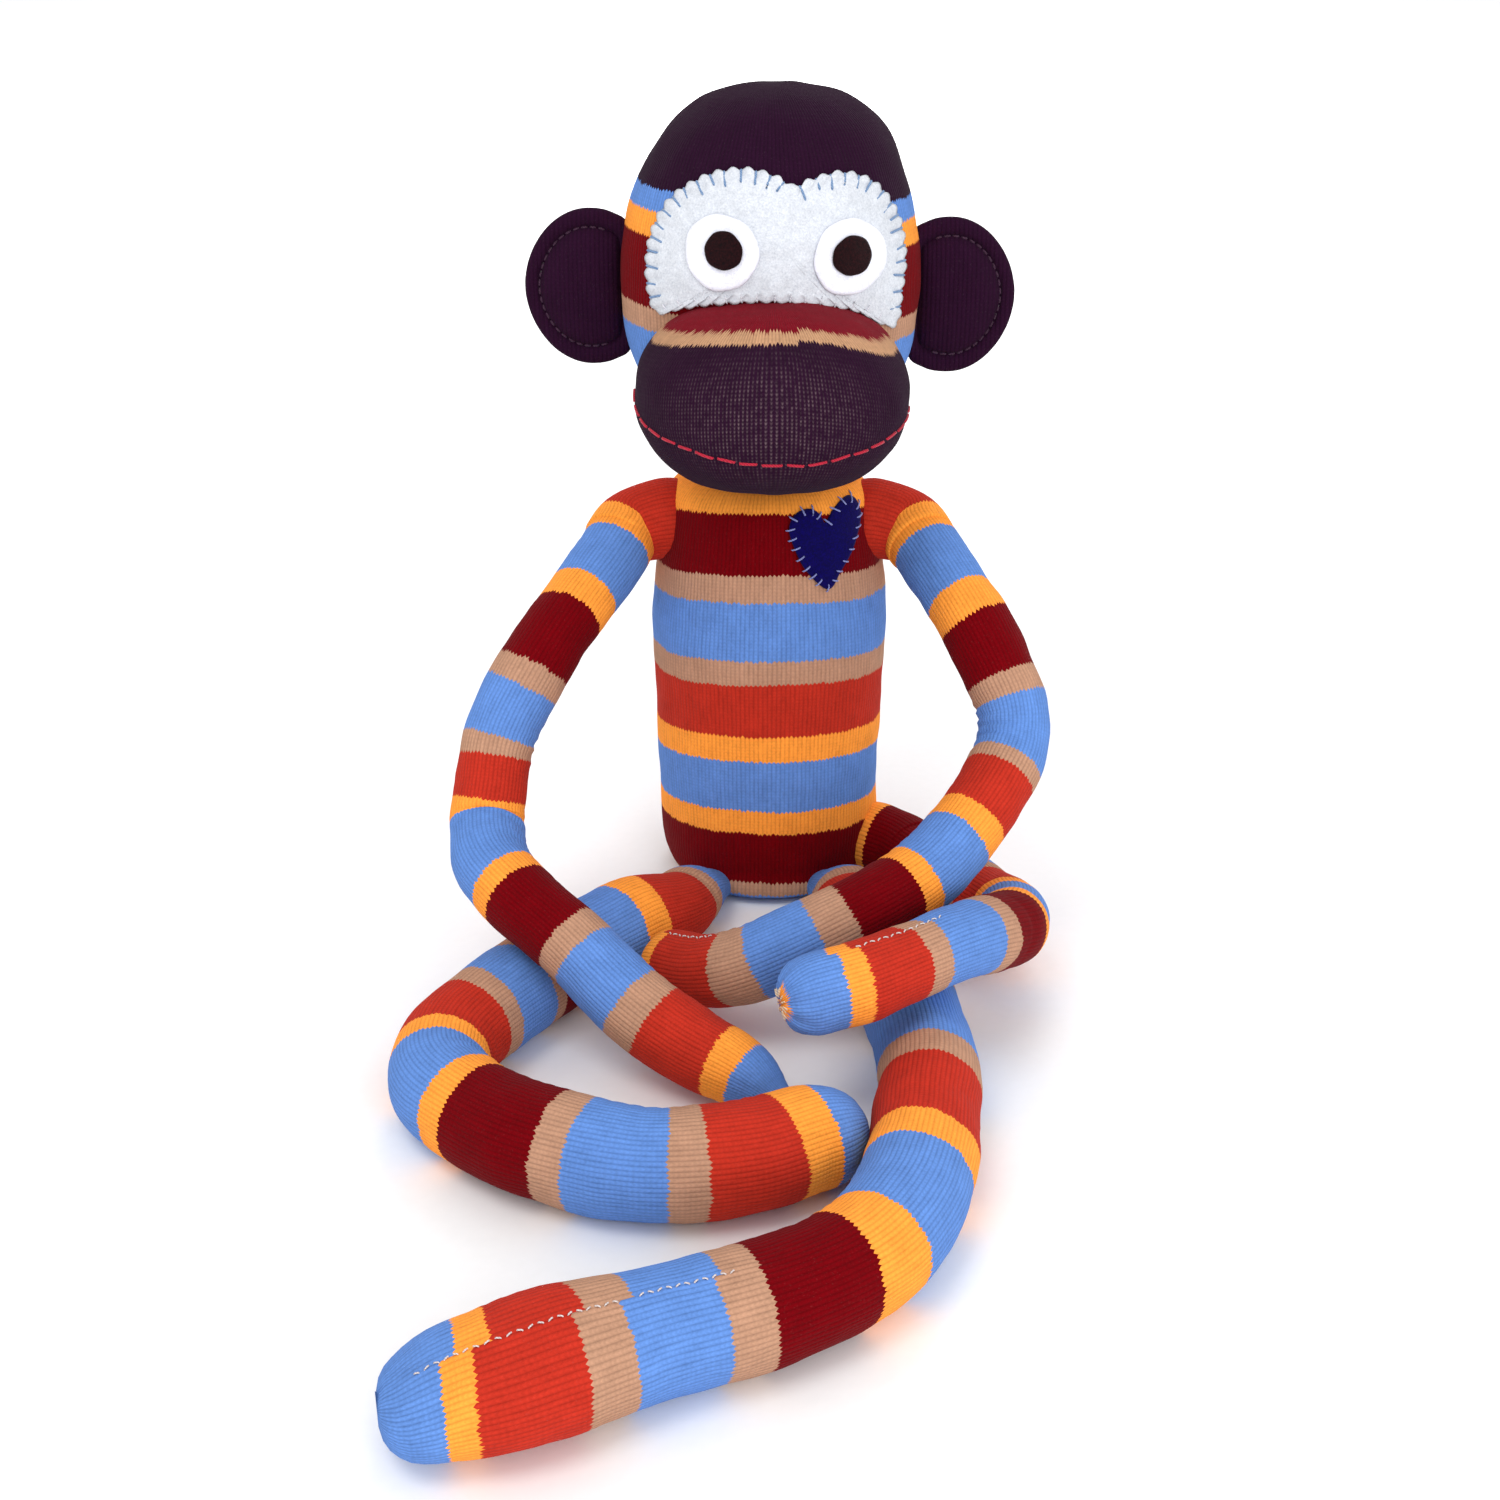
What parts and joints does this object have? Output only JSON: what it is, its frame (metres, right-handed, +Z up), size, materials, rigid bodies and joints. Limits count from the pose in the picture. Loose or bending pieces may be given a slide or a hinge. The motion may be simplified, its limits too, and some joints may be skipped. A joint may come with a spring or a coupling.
{
  "type": "stuffed sock monkey",
  "caption": "Hand-sewn stuffed monkey of striped knit sock tubes, seated, with padded ears and muzzle, felt eye patch, and long limbs and tail jointed where the stuffing bends.",
  "frame": {"origin": "on the floor, in the middle of the flat seat under the torso", "axes": "+Z up, -Y the way the face looks, +X to the right as seen from the front"},
  "size_m": [0.2193, 0.3913, 0.29],
  "materials": {
    "striped_knit": "matte",
    "polyester_stuffing": "matte",
    "heart_felt": "matte",
    "heart_thread": "matte",
    "neck_thread": "matte",
    "crown_knit": "matte",
    "muzzle_knit": "matte",
    "mouth_thread": "matte",
    "patch_felt": "matte",
    "patch_thread": "matte",
    "eye_felt": "matte",
    "pupil_felt": "matte",
    "ear_knit": "matte",
    "ear_thread": "matte"
  },
  "bodies": {
    "torso": {"torso_cover": "striped_knit", "torso_stuffing": "polyester_stuffing", "heart_patch": "heart_felt", "heart_stitching": "heart_thread"},
    "neck": {"neck_thread": "neck_thread", "neck_stuffing": "polyester_stuffing"},
    "head": {"head_cover": "crown_knit", "head_stuffing": "polyester_stuffing", "muzzle_cover": "muzzle_knit", "muzzle_stuffing": "polyester_stuffing", "mouth_stitching": "mouth_thread", "eye_patch": "patch_felt", "eye_patch_stitching": "patch_thread", "left_eye_white": "eye_felt", "right_eye_white": "eye_felt", "left_pupil": "pupil_felt", "right_pupil": "pupil_felt"},
    "left_ear": {"left_ear_cover": "ear_knit", "left_ear_padding": "polyester_stuffing", "left_ear_topstitch": "ear_thread"},
    "right_ear": {"right_ear_cover": "ear_knit", "right_ear_padding": "polyester_stuffing", "right_ear_topstitch": "ear_thread"},
    "left_arm": {"left_arm_cover": "striped_knit", "left_arm_stuffing": "polyester_stuffing"},
    "left_forearm": {"left_forearm_cover": "striped_knit", "left_forearm_stuffing": "polyester_stuffing"},
    "right_arm": {"right_arm_cover": "striped_knit", "right_arm_stuffing": "polyester_stuffing"},
    "right_forearm": {"right_forearm_cover": "striped_knit", "right_forearm_stuffing": "polyester_stuffing"},
    "left_thigh": {"left_thigh_cover": "striped_knit", "left_thigh_stuffing": "polyester_stuffing"},
    "left_shin": {"left_shin_cover": "striped_knit", "left_shin_stuffing": "polyester_stuffing"},
    "right_thigh": {"right_thigh_cover": "striped_knit", "right_thigh_stuffing": "polyester_stuffing"},
    "right_shin": {"right_shin_cover": "striped_knit", "right_shin_stuffing": "polyester_stuffing"},
    "tail_root": {"tail_root_cover": "striped_knit", "tail_root_stuffing": "polyester_stuffing"},
    "tail_end": {"tail_end_cover": "striped_knit", "tail_end_stuffing": "polyester_stuffing"}
  },
  "joints": [
    {"name": "neck_turn", "type": "hinge", "parent": "torso", "child": "neck", "pos_m": [0, 0, 0.1585], "axis": [0, 0, 1], "range_deg": [-25, 25]},
    {"name": "head_nod", "type": "hinge", "parent": "neck", "child": "head", "pos_m": [0, 0, 0.19], "axis": [1, 0, 0], "range_deg": [-12, 12]},
    {"name": "left_ear_fold", "type": "hinge", "parent": "head", "child": "left_ear", "pos_m": [-0.0545, 0, 0.222], "axis": [0, 0, 1], "range_deg": [-30, 30]},
    {"name": "right_ear_fold", "type": "hinge", "parent": "head", "child": "right_ear", "pos_m": [0.0545, 0, 0.219], "axis": [0, 0, 1], "range_deg": [-30, 30]},
    {"name": "left_shoulder", "type": "hinge", "parent": "torso", "child": "left_arm", "pos_m": [-0.051, -0.008, 0.137], "axis": [1, 0, 0], "range_deg": [-95, 0]},
    {"name": "right_shoulder", "type": "hinge", "parent": "torso", "child": "right_arm", "pos_m": [0.051, -0.008, 0.137], "axis": [1, 0, 0], "range_deg": [-95, 0]},
    {"name": "left_elbow", "type": "hinge", "parent": "left_arm", "child": "left_forearm", "pos_m": [-0.096, -0.094, 0.058], "axis": [0.944, -0.33, 0], "range_deg": [-40, 0]},
    {"name": "right_elbow", "type": "hinge", "parent": "right_arm", "child": "right_forearm", "pos_m": [0.08, -0.076, 0.071], "axis": [0, 1, 0], "range_deg": [0, 60]},
    {"name": "left_hip", "type": "hinge", "parent": "torso", "child": "left_thigh", "pos_m": [-0.0285, -0.0502, 0.016], "axis": [1, 0, 0], "range_deg": [0, 90]},
    {"name": "right_hip", "type": "hinge", "parent": "torso", "child": "right_thigh", "pos_m": [0.0285, -0.0502, 0.016], "axis": [1, 0, 0], "range_deg": [0, 90]},
    {"name": "left_knee", "type": "hinge", "parent": "left_thigh", "child": "left_shin", "pos_m": [-0.106, -0.172, 0.016], "axis": [-0.15, -0.9887, 0], "range_deg": [0, 70]},
    {"name": "right_knee", "type": "hinge", "parent": "right_thigh", "child": "right_shin", "pos_m": [0.042, -0.226, 0.016], "axis": [0.45, -0.893, 0], "range_deg": [-60, 0]},
    {"name": "tail_swing", "type": "hinge", "parent": "torso", "child": "tail_root", "pos_m": [0.051, -0.02, 0.0135], "axis": [0, 0, 1], "range_deg": [0, 60]},
    {"name": "tail_bend", "type": "hinge", "parent": "tail_root", "child": "tail_end", "pos_m": [0.066, -0.142, 0.0415], "axis": [-0.634, 0.7733, 0], "range_deg": [0, 60]}
  ]
}
